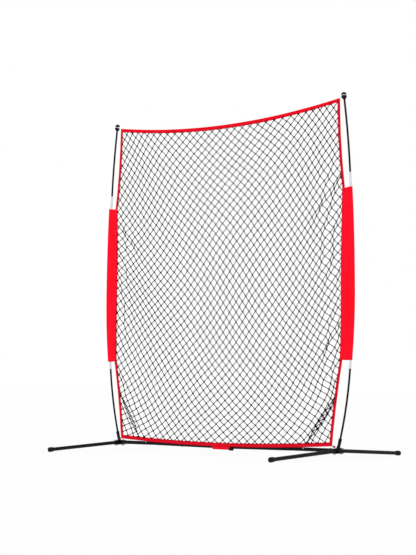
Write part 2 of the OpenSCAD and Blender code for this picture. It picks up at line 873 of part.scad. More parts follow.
module centre_strap() {
    tab_back = strap_inner_r + strap_t / 4;
    tab_top = corner_low_z - bottom_sag + border_w * 0.7 - base_mid_z;
    tab_front = -net_y(base_mid_z + tab_top) - border_t / 2;
    color(red_cloth)
        difference() {
            union() {
                translate([-strap_w / 2, 0, base_mid_z])
                    rotate([90, 0, 90])
                        linear_extrude(strap_w)
                            union() {
                                circle(r = strap_outer_r);
                                translate([-tab_front, -3]) square([tab_front - tab_back, tab_top + 3]);
                            }
                translate([strap_w / 2 + strap_ear_out, 0, base_mid_z])
                    rotate([180 + toggle_way, 0, 0])
                        translate([-strap_ear, strap_inner_r - 1, -strap_ear_t / 2])
                            cube([strap_ear, toggle_r + strap_ear_t, strap_ear_t]);
            }
            translate([-strap_w / 2 - 1, 0, base_mid_z])
                rotate([0, 90, 0]) cylinder(h = strap_w + 2 + strap_ear_out, r = strap_inner_r);
        }
}

module strap_toggle() {
    color(black_plastic)
        translate([strap_w / 2 + strap_ear_out + toggle_gap, toggle_y, toggle_z])
            rotate([0, 90, 0])
                difference() {
                    rotate_extrude()
                        polygon([
                            [0, 0],
                            [toggle_r - 1.5, 0],
                            [toggle_r, 1.5],
                            [toggle_r, toggle_length - 1.5],
                            [toggle_r - 1.5, toggle_length],
                            [0, toggle_length]
                        ]);
                    translate([0, 0, -1]) cylinder(h = toggle_length + 2, r = strap_cord_r + fit_clear);
                }
}

module strap_cord() {
    color(net_black)
        translate([strap_w / 2 + strap_ear_out, toggle_y, toggle_z])
            rotate([0, 90, 0]) {
                cylinder(h = toggle_gap + toggle_length + 4, r = strap_cord_r);
                translate([0, 0, toggle_gap + toggle_length + 4]) sphere(r = 3, $fn = loop_sides);
            }
}

module left_of() {
    mirror([1, 0, 0]) children();
}

left_hub();
right_hub();
left_of() right_pole_socket();  // left_pole_socket
right_pole_socket();
left_of() right_net_hook();  // left_net_hook
right_net_hook();
left_of() right_base_arm();  // left_base_arm
right_base_arm();
left_of() right_base_tube();  // left_base_tube
right_base_tube();
base_coupler();
arm_bolts();
arm_nuts();
pivot_bolts();
pivot_nuts();
left_of() right_snap_button();  // left_snap_button
right_snap_button();
left_of() right_snap_spring();  // left_snap_spring
right_snap_spring();
to_corner(true, false) leg_inner();  // front_left_leg_inner
to_corner(false, false) leg_inner();  // front_right_leg_inner
to_corner(true, true) leg_inner();  // back_left_leg_inner
to_corner(false, true) leg_inner();  // back_right_leg_inner
to_corner(true, false) leg_outer();  // front_left_leg_outer
to_corner(false, false) leg_outer();  // front_right_leg_outer
to_corner(true, true) leg_outer();  // back_left_leg_outer
to_corner(false, true) leg_outer();  // back_right_leg_outer
to_corner(true, false) foot_cap();  // front_left_foot_cap
to_corner(false, false) foot_cap();  // front_right_foot_cap
to_corner(true, true) foot_cap();  // back_left_foot_cap
to_corner(false, true) foot_cap();  // back_right_foot_cap
left_of() rod(0);  // left_rod_1
left_of() rod(1);  // left_rod_2
left_of() rod(2);  // left_rod_3
left_of() rod(3);  // left_rod_4
rod(0);  // right_rod_1
rod(1);  // right_rod_2
rod(2);  // right_rod_3
rod(3);  // right_rod_4
left_of() right_ferrules();  // left_ferrules
right_ferrules();
left_of() right_core_cord();  // left_core_cord
right_core_cord();
left_of() right_tip_knob();  // left_tip_knob
right_tip_knob();
net();
top_border();
bottom_border();
left_of() right_border();  // left_border
right_border();
left_of() right_sleeve();  // left_sleeve
right_sleeve();
left_of() top_right_loop();  // top_left_loop
top_right_loop();
left_of() bottom_right_loop();  // bottom_left_loop
bottom_right_loop();
centre_strap();
strap_toggle();
strap_cord();
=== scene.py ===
import bpy
import math
import numpy as np
from mathutils import Matrix, Vector


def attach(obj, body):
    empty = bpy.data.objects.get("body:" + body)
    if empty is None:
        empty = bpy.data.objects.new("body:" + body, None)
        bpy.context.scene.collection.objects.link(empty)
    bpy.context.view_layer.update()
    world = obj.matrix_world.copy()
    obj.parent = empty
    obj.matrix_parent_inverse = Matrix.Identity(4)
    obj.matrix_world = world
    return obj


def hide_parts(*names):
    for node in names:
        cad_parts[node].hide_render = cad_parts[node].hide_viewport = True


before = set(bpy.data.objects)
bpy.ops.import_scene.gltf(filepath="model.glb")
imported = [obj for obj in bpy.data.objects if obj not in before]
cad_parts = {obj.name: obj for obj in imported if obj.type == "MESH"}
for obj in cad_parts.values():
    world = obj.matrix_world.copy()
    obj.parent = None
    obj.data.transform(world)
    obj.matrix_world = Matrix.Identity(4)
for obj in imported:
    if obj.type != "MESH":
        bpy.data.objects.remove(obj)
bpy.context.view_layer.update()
rng = np.random.default_rng(11)


# camera
cameraRules = {
    "place": (6.3578, -7.4027, 0.4384),
    "turn": 0.7191,          # radians, to the left of straight back
    "tilt": 0.066,           # radians, upwards
    "roll": 0.0053,
    "lens": 102.63,          # mm on a 36 mm frame
}


def placeCamera():
    rules = cameraRules
    turn, tilt, roll = rules["turn"], rules["tilt"], rules["roll"]
    side = Vector((math.cos(turn), math.sin(turn), 0))
    ahead = Vector((-math.sin(turn) * math.cos(tilt), math.cos(turn) * math.cos(tilt), math.sin(tilt)))
    up = side.cross(ahead)
    right = side * math.cos(roll) + up * math.sin(roll)
    over = up * math.cos(roll) - side * math.sin(roll)
    lens = bpy.data.cameras.new("sceneCamera")
    lens.lens = rules["lens"]
    lens.sensor_width = 36
    lens.clip_end = 200
    camera = bpy.data.objects.new("sceneCamera", lens)
    axes = Matrix((right, over, -ahead)).transposed().to_4x4()
    camera.matrix_world = Matrix.Translation(rules["place"]) @ axes
    bpy.context.collection.objects.link(camera)
    bpy.context.scene.camera = camera


placeCamera()
bpy.context.scene.view_settings.view_transform = "Standard"
print("camera placed")


# small helpers; all pieces are worked out in millimetres
def makePiece(name, points, faces, finish, uvs=None, smooth=True):
    mesh = bpy.data.meshes.new(name)
    points = np.asarray(points, dtype=float).reshape(-1, 3) * 0.001
    mesh.from_pydata(points.tolist(), [], [list(map(int, f)) for f in faces])
    if uvs is not None:
        layer = mesh.uv_layers.new(name="cut")
        at = np.empty(len(mesh.loops), dtype=np.int32)
        mesh.loops.foreach_get("vertex_index", at)
        layer.data.foreach_set("uv", (np.asarray(uvs)[at] * 0.001).astype(np.float32).ravel())
    mesh.polygons.foreach_set("use_smooth", [smooth] * len(mesh.polygons))
    mesh.materials.append(finish)
    mesh.update()
    piece = bpy.data.objects.new(name, mesh)
    bpy.context.collection.objects.link(piece)
    return piece


def gridFaces(rows, columns, closed):
    # quads between neighbouring rings, rows of points one after another
    i = np.arange(rows - 1)[:, None] * columns
    j = np.arange(columns if closed else columns - 1)[None]
    k = (j + 1) % columns
    quads = np.stack([i + j, i + k, i + columns + k, i + columns + j], axis=-1)
    return quads.reshape(-1, 4)


def unit(v):
    return v / np.maximum(np.linalg.norm(v, axis=-1, keepdims=True), 1e-9)


def tubeAlong(paths, radius, sides, aside=(0.12, 1.0, 0.07)):
    # many tubes of one length in points; paths is (tubes, points, 3), and no path runs along aside
    paths = np.asarray(paths, dtype=float)
    tubes, points = paths.shape[:2]
    along = unit(np.gradient(paths, axis=1))
    across = unit(np.cross(along, np.asarray(aside)))
    over = np.cross(along, across)
    turn = np.arange(sides) * 2 * np.pi / sides
    ring = (across[:, :, None] * np.cos(turn)[None, None, :, None]
            + over[:, :, None] * np.sin(turn)[None, None, :, None])
    radius = np.broadcast_to(np.asarray(radius, dtype=float), (tubes, points))
    verts = paths[:, :, None] + ring * radius[:, :, None, None]
    quads = gridFaces(points, sides, True)
    faces = (quads[None] + (np.arange(tubes) * points * sides)[:, None, None]).reshape(-1, 4)
    steps = np.linalg.norm(np.diff(paths, axis=1), axis=-1)
    run = np.concatenate([np.zeros((tubes, 1)), np.cumsum(steps, axis=1)], axis=1)
    uv = np.stack(np.broadcast_arrays((turn / (2 * np.pi))[None, None] * 6.0, run[:, :, None]), axis=-1)
    return verts.reshape(-1, 3), faces, uv.reshape(-1, 2)


# finishes
def newFinish(name, rough=0.5, metal=0.0):
    finish = bpy.data.materials.new(name)
    finish.use_nodes = True
    shader = finish.node_tree.nodes["Principled BSDF"]
    shader.inputs["Roughness"].default_value = rough
    shader.inputs["Metallic"].default_value = metal
    return finish, finish.node_tree, shader


def addNode(tree, kind, **values):
    node = tree.nodes.new(kind)
    for name, value in values.items():
        if hasattr(node, name):
            setattr(node, name, value)
        else:
            node.inputs[name.replace("_", " ")].default_value = value
    return node


def stretchedNoise(tree, stretch, scale, detail=3.0, space="Object"):
    where = addNode(tree, "ShaderNodeTexCoord")
    sized = addNode(tree, "ShaderNodeMapping")
    sized.inputs["Scale"].default_value = stretch
    noise = addNode(tree, "ShaderNodeTexNoise")
    noise.inputs["Scale"].default_value = scale
    noise.inputs["Detail"].default_value = detail
    tree.links.new(where.outputs[space], sized.inputs["Vector"])
    tree.links.new(sized.outputs["Vector"], noise.inputs["Vector"])
    return noise.outputs["Fac"]


def spreadColour(tree, shader, amount, low, high, lowAt=0.3, highAt=0.7):
    ramp = addNode(tree, "ShaderNodeValToRGB")
    ramp.color_ramp.elements[0].position = lowAt
    ramp.color_ramp.elements[1].position = highAt
    ramp.color_ramp.elements[0].color = (*low, 1)
    ramp.color_ramp.elements[1].color = (*high, 1)
    tree.links.new(amount, ramp.inputs["Fac"])
    tree.links.new(ramp.outputs["Color"], shader.inputs["Base Color"])
    return ramp.outputs["Color"]


def spreadRough(tree, shader, amount, low, high):
    reach = addNode(tree, "ShaderNodeMapRange")
    reach.inputs["From Min"].default_value = 0.25
    reach.inputs["From Max"].default_value = 0.75
    reach.inputs["To Min"].default_value = low
    reach.inputs["To Max"].default_value = high
    tree.links.new(amount, reach.inputs["Value"])
    tree.links.new(reach.outputs["Result"], shader.inputs["Roughness"])


def raiseBump(tree, shader, amount, height, strength=1.0, under=None):
    bump = addNode(tree, "ShaderNodeBump")
    bump.inputs["Strength"].default_value = strength
    bump.inputs["Distance"].default_value = height
    tree.links.new(amount, bump.inputs["Height"])
    if under is not None:
        tree.links.new(under, bump.inputs["Normal"])
    tree.links.new(bump.outputs["Normal"], shader.inputs["Normal"])
    return bump.outputs["Normal"]


def powderCoatedSteel():
    rules = {"dark": (0.0012, 0.0012, 0.0014), "worn": (0.0050, 0.0050, 0.0053), "peel": 0.00006}
    finish, tree, shader = newFinish("powderCoatedSteel")
    shader.inputs["Specular IOR Level"].default_value = 0.1
    broad = stretchedNoise(tree, (1, 1, 1), 16, 5)
    spreadColour(tree, shader, broad, rules["dark"], rules["worn"], 0.35, 0.8)
    spreadRough(tree, shader, stretchedNoise(tree, (1, 1, 1), 55, 4), 0.38, 0.56)
    raiseBump(tree, shader, stretchedNoise(tree, (1, 1, 1), 620, 2), rules["peel"], 0.5)
    return finish


def polishedSteel():
    finish, tree, shader = newFinish("polishedSteel", 0.2, 1.0)
    lines = stretchedNoise(tree, (1, 1, 0.012), 900, 3)
    spreadColour(tree, shader, lines, (0.60, 0.63, 0.65), (0.80, 0.82, 0.84))
    spreadRough(tree, shader, stretchedNoise(tree, (1, 1, 0.05), 260, 4), 0.13, 0.3)
    raiseBump(tree, shader, lines, 0.00003, 0.35)
    return finish


def zincPlatedSteel():
    finish, tree, shader = newFinish("zincPlatedSteel", 0.35, 1.0)
    broad = stretchedNoise(tree, (1, 1, 1), 240, 4)
    spreadColour(tree, shader, broad, (0.5, 0.5, 0.49), (0.72, 0.72, 0.7))
    spreadRough(tree, shader, broad, 0.25, 0.45)
    raiseBump(tree, shader, stretchedNoise(tree, (1, 1, 1), 1400, 2), 0.00002, 0.4)
    return finish


def poleFibre():
    finish, tree, shader = newFinish("poleFibre")
    shader.inputs["Specular IOR Level"].default_value = 0.1
    strands = stretchedNoise(tree, (1, 1, 0.01), 1100, 4)
    spreadColour(tree, shader, strands, (0.0015, 0.0015, 0.0017), (0.005, 0.005, 0.0055))
    spreadRough(tree, shader, stretchedNoise(tree, (1, 1, 0.03), 300, 3), 0.26, 0.44)
    raiseBump(tree, shader, strands, 0.00004, 0.4)
    return finish


def mouldedPlastic():
    finish, tree, shader = newFinish("mouldedPlastic")
    shader.inputs["Specular IOR Level"].default_value = 0.12
    spreadColour(tree, shader, stretchedNoise(tree, (1, 1, 1), 70, 5),
                 (0.002, 0.002, 0.0022), (0.006, 0.006, 0.0064))
    spreadRough(tree, shader, stretchedNoise(tree, (1, 1, 1), 130, 3), 0.3, 0.46)
    raiseBump(tree, shader, stretchedNoise(tree, (1, 1, 1), 1500, 2), 0.00005, 0.45)
    return finish


def footRubber():
    finish, tree, shader = newFinish("footRubber")
    shader.inputs["Specular IOR Level"].default_value = 0.12
    spreadColour(tree, shader, stretchedNoise(tree, (1, 1, 1), 90, 6),
                 (0.003, 0.003, 0.0032), (0.014, 0.0135, 0.013), 0.4, 0.9)
    spreadRough(tree, shader, stretchedNoise(tree, (1, 1, 1), 180, 4), 0.5, 0.74)
    raiseBump(tree, shader, stretchedNoise(tree, (1, 1, 1), 900, 3), 0.00008, 0.5)
    return finish


def wovenCloth(name, low, high, pitch, height):
    # warp and weft ribs, laid along the cut of the cloth
    finish, tree, shader = newFinish(name, 0.7)
    shader.inputs["Specular IOR Level"].default_value = 0.05
    shader.inputs["Sheen Weight"].default_value = 0.01
    shader.inputs["Sheen Roughness"].default_value = 0.4
    where = addNode(tree, "ShaderNodeTexCoord")
    ribs = []
    for direction in ("X", "Y"):
        wave = addNode(tree, "ShaderNodeTexWave", bands_direction=direction)
        wave.inputs["Scale"].default_value = 0.314 / pitch
        wave.inputs["Distortion"].default_value = 0.35
        tree.links.new(where.outputs["UV"], wave.inputs["Vector"])
        ribs.append(wave.outputs["Fac"])
    weave = addNode(tree, "ShaderNodeMath", operation="MULTIPLY")
    tree.links.new(ribs[0], weave.inputs[0])
    tree.links.new(ribs[1], weave.inputs[1])
    broad = stretchedNoise(tree, (1, 1, 1), 26, 5)
    both = addNode(tree, "ShaderNodeMath", operation="MULTIPLY_ADD")
    both.inputs[1].default_value = 0.35
    tree.links.new(weave.outputs[0], both.inputs[0])
    tree.links.new(broad, both.inputs[2])
    spreadColour(tree, shader, both.outputs[0], low, high, 0.3, 0.95)
    spreadRough(tree, shader, stretchedNoise(tree, (1, 1, 1), 60, 3), 0.6, 0.78)
    first = raiseBump(tree, shader, weave.outputs[0], height, 0.6)
    raiseBump(tree, shader, stretchedNoise(tree, (1, 1, 1), 140, 4), height * 2, 0.35, first)
    return finish


def laidTwine(name, low, high, lay, rough=(0.45, 0.66)):
    # the strands of a twisted twine, slanting round it
    finish, tree, shader = newFinish(name)
    shader.inputs["Specular IOR Level"].default_value = 0.08
    where = addNode(tree, "ShaderNodeTexCoord")
    slant = addNode(tree, "ShaderNodeMapping")
    slant.inputs["Rotation"].default_value = (0, 0, math.radians(38))
    wave = addNode(tree, "ShaderNodeTexWave", bands_direction="X")
    wave.inputs["Scale"].default_value = 0.314 / lay
    tree.links.new(where.outputs["UV"], slant.inputs["Vector"])
    tree.links.new(slant.outputs["Vector"], wave.inputs["Vector"])
    spreadColour(tree, shader, stretchedNoise(tree, (1, 1, 1), 60, 5), low, high)
    spreadRough(tree, shader, wave.outputs["Fac"], rough[0], rough[1])
    raiseBump(tree, shader, wave.outputs["Fac"], lay * 0.22, 0.8)
    return finish


steelFinish = powderCoatedSteel()
brightFinish = polishedSteel()
zincFinish = zincPlatedSteel()
fibreFinish = poleFibre()
plasticFinish = mouldedPlastic()
rubberFinish = footRubber()
clothFinish = wovenCloth("redPolyester", (0.87, 0.002, 0.013), (0.96, 0.005, 0.024), 0.0009, 0.00012)
tapeFinish = wovenCloth("redTape", (0.71, 0.001, 0.010), (0.83, 0.003, 0.020), 0.0012, 0.00016)
edgeFinish = wovenCloth("redEdgeTape", (0.61, 0.001, 0.012), (0.73, 0.004, 0.022), 0.0012, 0.00016)
threadFinish = laidTwine("redThread", (0.62, 0.004, 0.012), (0.80, 0.010, 0.03), 0.0006)
twineFinish = laidTwine("blackTwine", (0.0015, 0.0015, 0.0017), (0.005, 0.005, 0.0055), 0.0022)
elasticFinish = laidTwine("paleElastic", (0.80, 0.79, 0.76), (0.93, 0.92, 0.90), 0.0011)
redCordFinish = laidTwine("redCord", (0.70, 0.004, 0.014), (0.86, 0.01, 0.03), 0.0011)
print("finishes mixed")


def dressFrame():
    # the metal, fibre, plastic and rubber parts keep their shapes
    kinds = (
        (("ferrules",), brightFinish),
        (("snap_button", "snap_spring", "bolts", "nuts"), zincFinish),
        (("rod_",), fibreFinish),
        (("core_cord",), elasticFinish),
        (("foot_cap",), rubberFinish),
        (("socket", "tip_knob", "toggle"), plasticFinish),
    )
    for name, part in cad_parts.items():
        finish = steelFinish
        for words, chosen in kinds:
            if any(word in name for word in words):
                finish = chosen
        part.data.materials.clear()
        part.data.materials.append(finish)


dressFrame()
print("frame dressed")


# moulded caps on the feet
capRules = {
    "pivot": (880.0, 32.0, 45.0), "foot": (625.0, 14.5), "sides": 48,
    # distance before the end of the leg and radius, from inside the collar to the end
    "profile": ((6.0, 0.0), (6.0, 11.1), (40.0, 11.1), (40.0, 12.0), (39.4, 12.6), (27.5, 12.8),
                (26.6, 13.3), (25.2, 14.6), (23.8, 15.0), (18.4, 15.0), (18.0, 14.5), (17.0, 14.5),
                (16.6, 15.0), (11.4, 15.0), (11.0, 14.5), (10.0, 14.5), (9.6, 15.0), (4.4, 15.0),
                (2.2, 14.5), (0.7, 13.2), (0.0, 11.2), (0.0, 0.0)),
}


def makeFootCaps():
    hubX, pivotY, pivotZ = capRules["pivot"]
    footY, footZ = capRules["foot"]
    length = math.hypot(footY - pivotY, pivotZ - footZ)
    back, radius = np.array(capRules["profile"]).T
    turn = np.arange(capRules["sides"]) * 2 * np.pi / capRules["sides"]
    for end, ySign in (("front", -1), ("back", 1)):
        for side, xSign in (("left", -1), ("right", 1)):
            along = np.array([0, ySign * (footY - pivotY), footZ - pivotZ]) / length
            across = np.array([1.0, 0, 0])
            over = np.cross(along, across)
            centre = np.array([xSign * hubX, ySign * pivotY, pivotZ]) + (length - back)[:, None] * along
            ring = np.cos(turn)[:, None] * across + np.sin(turn)[:, None] * over
            verts = centre[:, None] + ring[None] * radius[:, None, None]
            verts[..., 2] = np.maximum(verts[..., 2], 0)      # worn flat where it stands
            faces = gridFaces(len(back), capRules["sides"], True)
            cap = makePiece(end + "_" + side + "_foot_rubber", verts, faces, rubberFinish)
            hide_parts(end + "_" + side + "_foot_cap")
            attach(cap, end + "_" + side + "_leg")


makeFootCaps()
print("foot caps moulded")


# the outline that the poles give the net
poleRules = {
    "hubX": 880.0, "hubZ": 45.0, "seat": 24.0,
    "rod": 515.0, "straight": 60.0,
    "leans": (14.5, 4.8, -0.8, -3.2, -7.5),      # degrees, at the five rod ends
}
outlineRules = {
    "footY": -15.5,                              # middle of the net at its foot
    "leanBack": 18.0,                            # how far its top stands behind its foot
    "border": 18.0, "topBorder": 24.0, "bottomBorder": 23.0,     # widths of the tapes
    "cornerGap": 30.0, "cornerDrop": 14.0, "lowCorner": 72.0,
    "topSag": 67.0, "bottomSag": 27.0,
    "sideSags": (6.0, 8.0),                      # inward bows below and above the sleeves
    "sleeveFrom": 509.0, "sleeveLength": 1006.0,
    "sleeveReach": (51.0, 66.0, 42.0),           # pole to border at the foot, middle and top
}


def leanWay(degrees):
    return np.array([math.sin(math.radians(degrees)), math.cos(math.radians(degrees))])


def poleAt(s):
    # a point of the bowed pole, s mm up it, with its lean
    rules = poleRules
    arc = rules["rod"] - 2 * rules["straight"]
    at = np.array([rules["hubX"], rules["hubZ"]]) + rules["seat"] * leanWay(rules["leans"][0])
    left = s
    for i in range(4):
        first, last = rules["leans"][i], rules["leans"][i + 1]
        radius = arc / math.radians(first - last)
        run = min(left, rules["straight"])
        at = at + run * leanWay(first)
        lean = first
        if left > rules["straight"]:
            bent = min(left - rules["straight"], arc)
            turned = (first - last) * bent / arc
            at = at + 2 * radius * math.sin(math.radians(turned / 2)) * leanWay(first - turned / 2)
            lean = first - turned
        if left > rules["straight"] + arc:
            at = at + min(left - rules["straight"] - arc, rules["straight"]) * leanWay(last)
            lean = last
        left -= rules["rod"]
        if left <= 0:
            break
    return at, lean


def sleeveSteps(count):
    # pole point, lean, and the border's outer edge beside it
    rules = outlineRules
    foot, middle, top = rules["sleeveReach"]
    steps = []
    for t in np.linspace(0, 1, count):
        at, lean = poleAt(rules["sleeveFrom"] + t * rules["sleeveLength"])
        reach = foot * (1 - t) + top * t + (middle - (foot + top) / 2) * math.sin(math.pi * t)
        steps.append((at, lean, at[0] - reach))
    return steps


def sideLine(low, line, high):
    # from the bottom corner to the top one, bowed where no sleeve holds it
    t = np.linspace(0, 1, 6)[1:-1, None]
    bow = 4 * t * (1 - t) * (1, 0)
    below, above = outlineRules["sideSags"]
    return np.vstack([low, low + t * (line[0] - low) - below * bow, line,
                      line[-1] + t * (high - line[-1]) - above * bow, high])


poleTop, topLean = poleAt(4 * poleRules["rod"])
lowCorner = np.array([poleRules["hubX"] - outlineRules["cornerGap"], outlineRules["lowCorner"]])
highCorner = np.array([poleTop[0] - outlineRules["cornerGap"], poleTop[1] - outlineRules["cornerDrop"]])
seams = np.array([[edge, at[1]] for at, lean, edge in sleeveSteps(9)])
border = outlineRules["border"]
sideOuter = sideLine(lowCorner, seams, highCorner)
sideInner = sideLine(lowCorner + (-border, outlineRules["bottomBorder"]), seams - (border, 0),
                     highCorner - (border, outlineRules["topBorder"]))


def netDepth(z):
    # y of the middle of the net at a height
    rise = highCorner[1] - lowCorner[1]
    return outlineRules["footY"] + (z - lowCorner[1]) * outlineRules["leanBack"] / rise


def edgeX(side, z):
    return np.interp(z, side[:, 1], side[:, 0])


def sagged(corner, sag, u):
    # u runs from 0 at the left corner to 1 at the right one
    u = np.asarray(u, dtype=float)
    return np.stack([(2 * u - 1) * corner[0], corner[1] - sag * 4 * u * (1 - u)], axis=-1)


# the net
netRules = {
    "cell": 56.0,              # mean width and height of a cell
    "twine": 2.4,              # radius
    "knot": 3.6,               # radius of the turns of a knot
    "pulled": 1.2,             # how much thicker the twine of a knot looks, pulled tight
    "spare": 0.9,              # how far a slack bar bows
    "tuck": 5.0,               # how far the cut edge goes into the border tape
    "belly": 9.0,              # how far the middle of the net hangs back
    "flatBy": 70.0,            # how far from the tapes the net is drawn flat by them
    "sewn": 1.3,               # radius of the twine where it is sewn into a tape
    # the cells as the hung net has them: widths, rises, heights and leans,
    # rows from top to bottom, columns from left to right
    "places": (-760, -400, 0, 400, 760),
    "levels": (1930, 1650, 1350, 1050, 750, 450, 180),
    "width": ((49, 63, 60, 64, 50), (50, 57, 63, 55, 46), (54, 54, 58, 53, 46), (47, 58, 51, 54, 48),
              (53, 59, 52, 54, 48), (54, 56, 59, 54, 50), (52, 58, 65, 56, 50)),
    "rise": ((4, -4, 0, 6, -1), (-2, 0, 1, 0, 5), (-10, 4, 1, -3, 4), (-20, -2, 2, -2, 13),
             (-8, -9, 0, 5, 13), (-11, -6, -2, 7, 12), (-20, -2, -1, 2, 10)),
    "height": ((60, 50, 52, 46, 58), (59, 58, 49, 58, 61), (50, 58, 58, 58, 57), (48, 56, 65, 61, 56),
               (56, 53, 62, 58, 54), (56, 57, 54, 55, 54), (45, 53, 46, 50, 50)),
    "lean": ((-14, -1, -1, -4, 9), (-9, -7, -3, 4, 8), (-2, -7, -1, 5, 2), (-7, 0, -1, 2, 1),
             (3, 4, 1, -3, -6), (6, 5, 2, -5, -8), (15, 7, 3, -1, -5)),
    # folds along the strands: place, half length, way of the strand, strands drawn in, how far
    "folds": ((812, 240, 190, 1, 3.2, 46), (-803, 225, 170, -1, 2.1, 32), (826, 700, 150, 1, 1.7, 9),
              (820, 1560, 170, 1, 1.7, 9), (-846, 1390, 150, -1, 1.7, 8), (-850, 500, 120, -1, 1.7, 9)),
    # pleats beside the sleeves: place, half width, half height, spacing, lean, how far
    "pleats": ((838, 1330, 95, 420, 82, 0.28, 8.5), (846, 640, 80, 330, 74, 0.28, 8.0),
               (-862, 1120, 70, 500, 72, -0.28, 7.0)),
}


def fromTable(table, x, z):
    # smooth value between the table's places and levels
    places = np.array(netRules["places"], dtype=float)
    levels = np.array(netRules["levels"], dtype=float)[::-1]
    table = np.array(table, dtype=float)[::-1]
    i = np.clip(np.searchsorted(places, x) - 1, 0, len(places) - 2)
    j = np.clip(np.searchsorted(levels, z) - 1, 0, len(levels) - 2)
    s = np.clip((x - places[i]) / (places[i + 1] - places[i]), 0, 1)
    t = np.clip((z - levels[j]) / (levels[j + 1] - levels[j]), 0, 1)
    s, t = s * s * (3 - 2 * s), t * t * (3 - 2 * t)
    return ((1 - s) * (1 - t) * table[j, i] + s * (1 - t) * table[j, i + 1]
            + (1 - s) * t * table[j + 1, i] + s * t * table[j + 1, i + 1])


def sumSteps(across, up):
    # the heights of a sheet whose steps between neighbours come closest to the given ones
    na, nb = across.shape[0] + 1, across.shape[1]
    push = np.zeros((na, nb))
    push[:-1] += across
    push[1:] -= across
    push[:, :-1] += up
    push[:, 1:] -= up
    push = np.vstack([push, push[::-1]])
    push = np.fft.fft2(np.hstack([push, push[:, ::-1]]))
    weight = ((2 * np.cos(np.pi * np.arange(2 * na) / na) - 2)[:, None]
              + (2 * np.cos(np.pi * np.arange(2 * nb) / nb) - 2)[None])
    weight[0, 0] = 1
    push[0, 0] = 0
    return np.real(np.fft.ifft2(push / weight))[:na, :nb]


def tapeGap(x, z):
    # how far a place on the netting lies from the nearest inner edge of a tape
    low, high = sideInner[0], sideInner[-1]
    floorZ = sagged(low, outlineRules["bottomSag"], (x / low[0] + 1) / 2)[..., 1]
    roofZ = sagged(high, outlineRules["topSag"], (x / high[0] + 1) / 2)[..., 1]
    return np.minimum(edgeX(sideInner, z) - np.abs(x), np.minimum(z - floorZ, roofZ - z))


def drawnIn(x, z, a, b):
    # draws neighbouring strands together at the folds, and gives the folds some depth
    deep = np.zeros_like(x)
    for atX, atZ, reach, way, strands, draw in netRules["folds"]:
        index = a - way * b
        nearest = np.argmin((x - atX) ** 2 + (z - atZ) ** 2)
        away = index - 2 * round(index.flat[nearest] / 2)
        size = np.abs(away) / strands
        fade = np.exp(-((z - atZ) / reach) ** 4)
        x = x - np.sign(away) * draw * size * np.exp(1 - size) * fade
        deep = deep + 0.4 * draw * np.cos(away * np.pi / 2 + 0.8) * np.exp(-size) * fade
    for atX, atZ, wide, tall, spacing, lean, draw in netRules["pleats"]:
        fade = np.exp(-((x - atX) / wide) ** 4 - ((z - atZ) / tall) ** 4)
        wander = 15 * np.sin(z / 97.0) + 9 * np.sin(z / 41.0 + 1)
        phase = 2 * np.pi * (x - atX - lean * (z - atZ) + wander) / spacing
        x, deep = x + draw * np.sin(phase) * fade, deep + 0.6 * draw * np.cos(phase) * fade
    return x, z, deep


def hangNet():
    # a sheet of knots wider than the frame, set out until its cells have their sizes
    rules = netRules
    na = int((2 * highCorner[0] + 260) / rules["cell"]) * 2 + 1
    nb = int((highCorner[1] + 160) / rules["cell"]) * 2 + 1
    a, b = np.meshgrid(np.arange(na) - na // 2, np.arange(nb) - nb // 2, indexing="ij")
    middle = (highCorner[1] + lowCorner[1]) / 2
    x, z = a * rules["cell"] / 2, middle + b * rules["cell"] / 2
    for sweep in range(12):
        width, rise = fromTable(rules["width"], x, z) / 2, fromTable(rules["rise"], x, z) / 2
        height, lean = fromTable(rules["height"], x, z) / 2, fromTable(rules["lean"], x, z) / 2
        x = sumSteps(width[1:] / 2 + width[:-1] / 2, lean[:, 1:] / 2 + lean[:, :-1] / 2)
        z = sumSteps(rise[1:] / 2 + rise[:-1] / 2, height[:, 1:] / 2 + height[:, :-1] / 2)
        x, z = x - x[na // 2, nb // 2], z - z[na // 2, nb // 2] + middle
    x, z, deep = drawnIn(x, z, a, b)
    # a slight belly, and each knot a little out of the plane
    up = np.clip((z - lowCorner[1]) / (highCorner[1] - lowCorner[1]), 0, 1)
    inside = np.clip(1 - (x / highCorner[0]) ** 2, 0, 1) * 4 * up * (1 - up)
    out = rules["belly"] * inside ** 0.7 + deep + rng.normal(0, 1.2, x.shape)
    y = netDepth(z) + out * np.clip(tapeGap(x, z) / rules["flatBy"], 0, 1)
    return np.stack([x, y, z], axis=-1), (a + b) % 2 == 1


def cutBars(starts, ends):
    # bars that cross the cut edge end on it, inside the tape, and those beyond it go
    tuck = netRules["tuck"]
    keepA, keepB = (tapeGap(p[:, 0], p[:, 2]) > -tuck for p in (starts, ends))
    kept = keepA | keepB
    starts, ends, keepA, keepB = starts[kept], ends[kept], keepA[kept], keepB[kept]
    flip = ~keepA
    starts[flip], ends[flip] = ends[flip], starts[flip]
    cross = keepA != keepB
    near, far = np.zeros(len(starts)), np.ones(len(starts))
    for halving in range(12):
        middle = (near + far) / 2
        at = starts + (ends - starts) * middle[:, None]
        within = tapeGap(at[:, 0], at[:, 2]) > -tuck
        near, far = np.where(within, middle, near), np.where(within, far, middle)
    ends[cross] = (starts + (ends - starts) * near[:, None])[cross]
    ends[cross, 1] = netDepth(ends[cross, 2])
    return starts, ends, cross


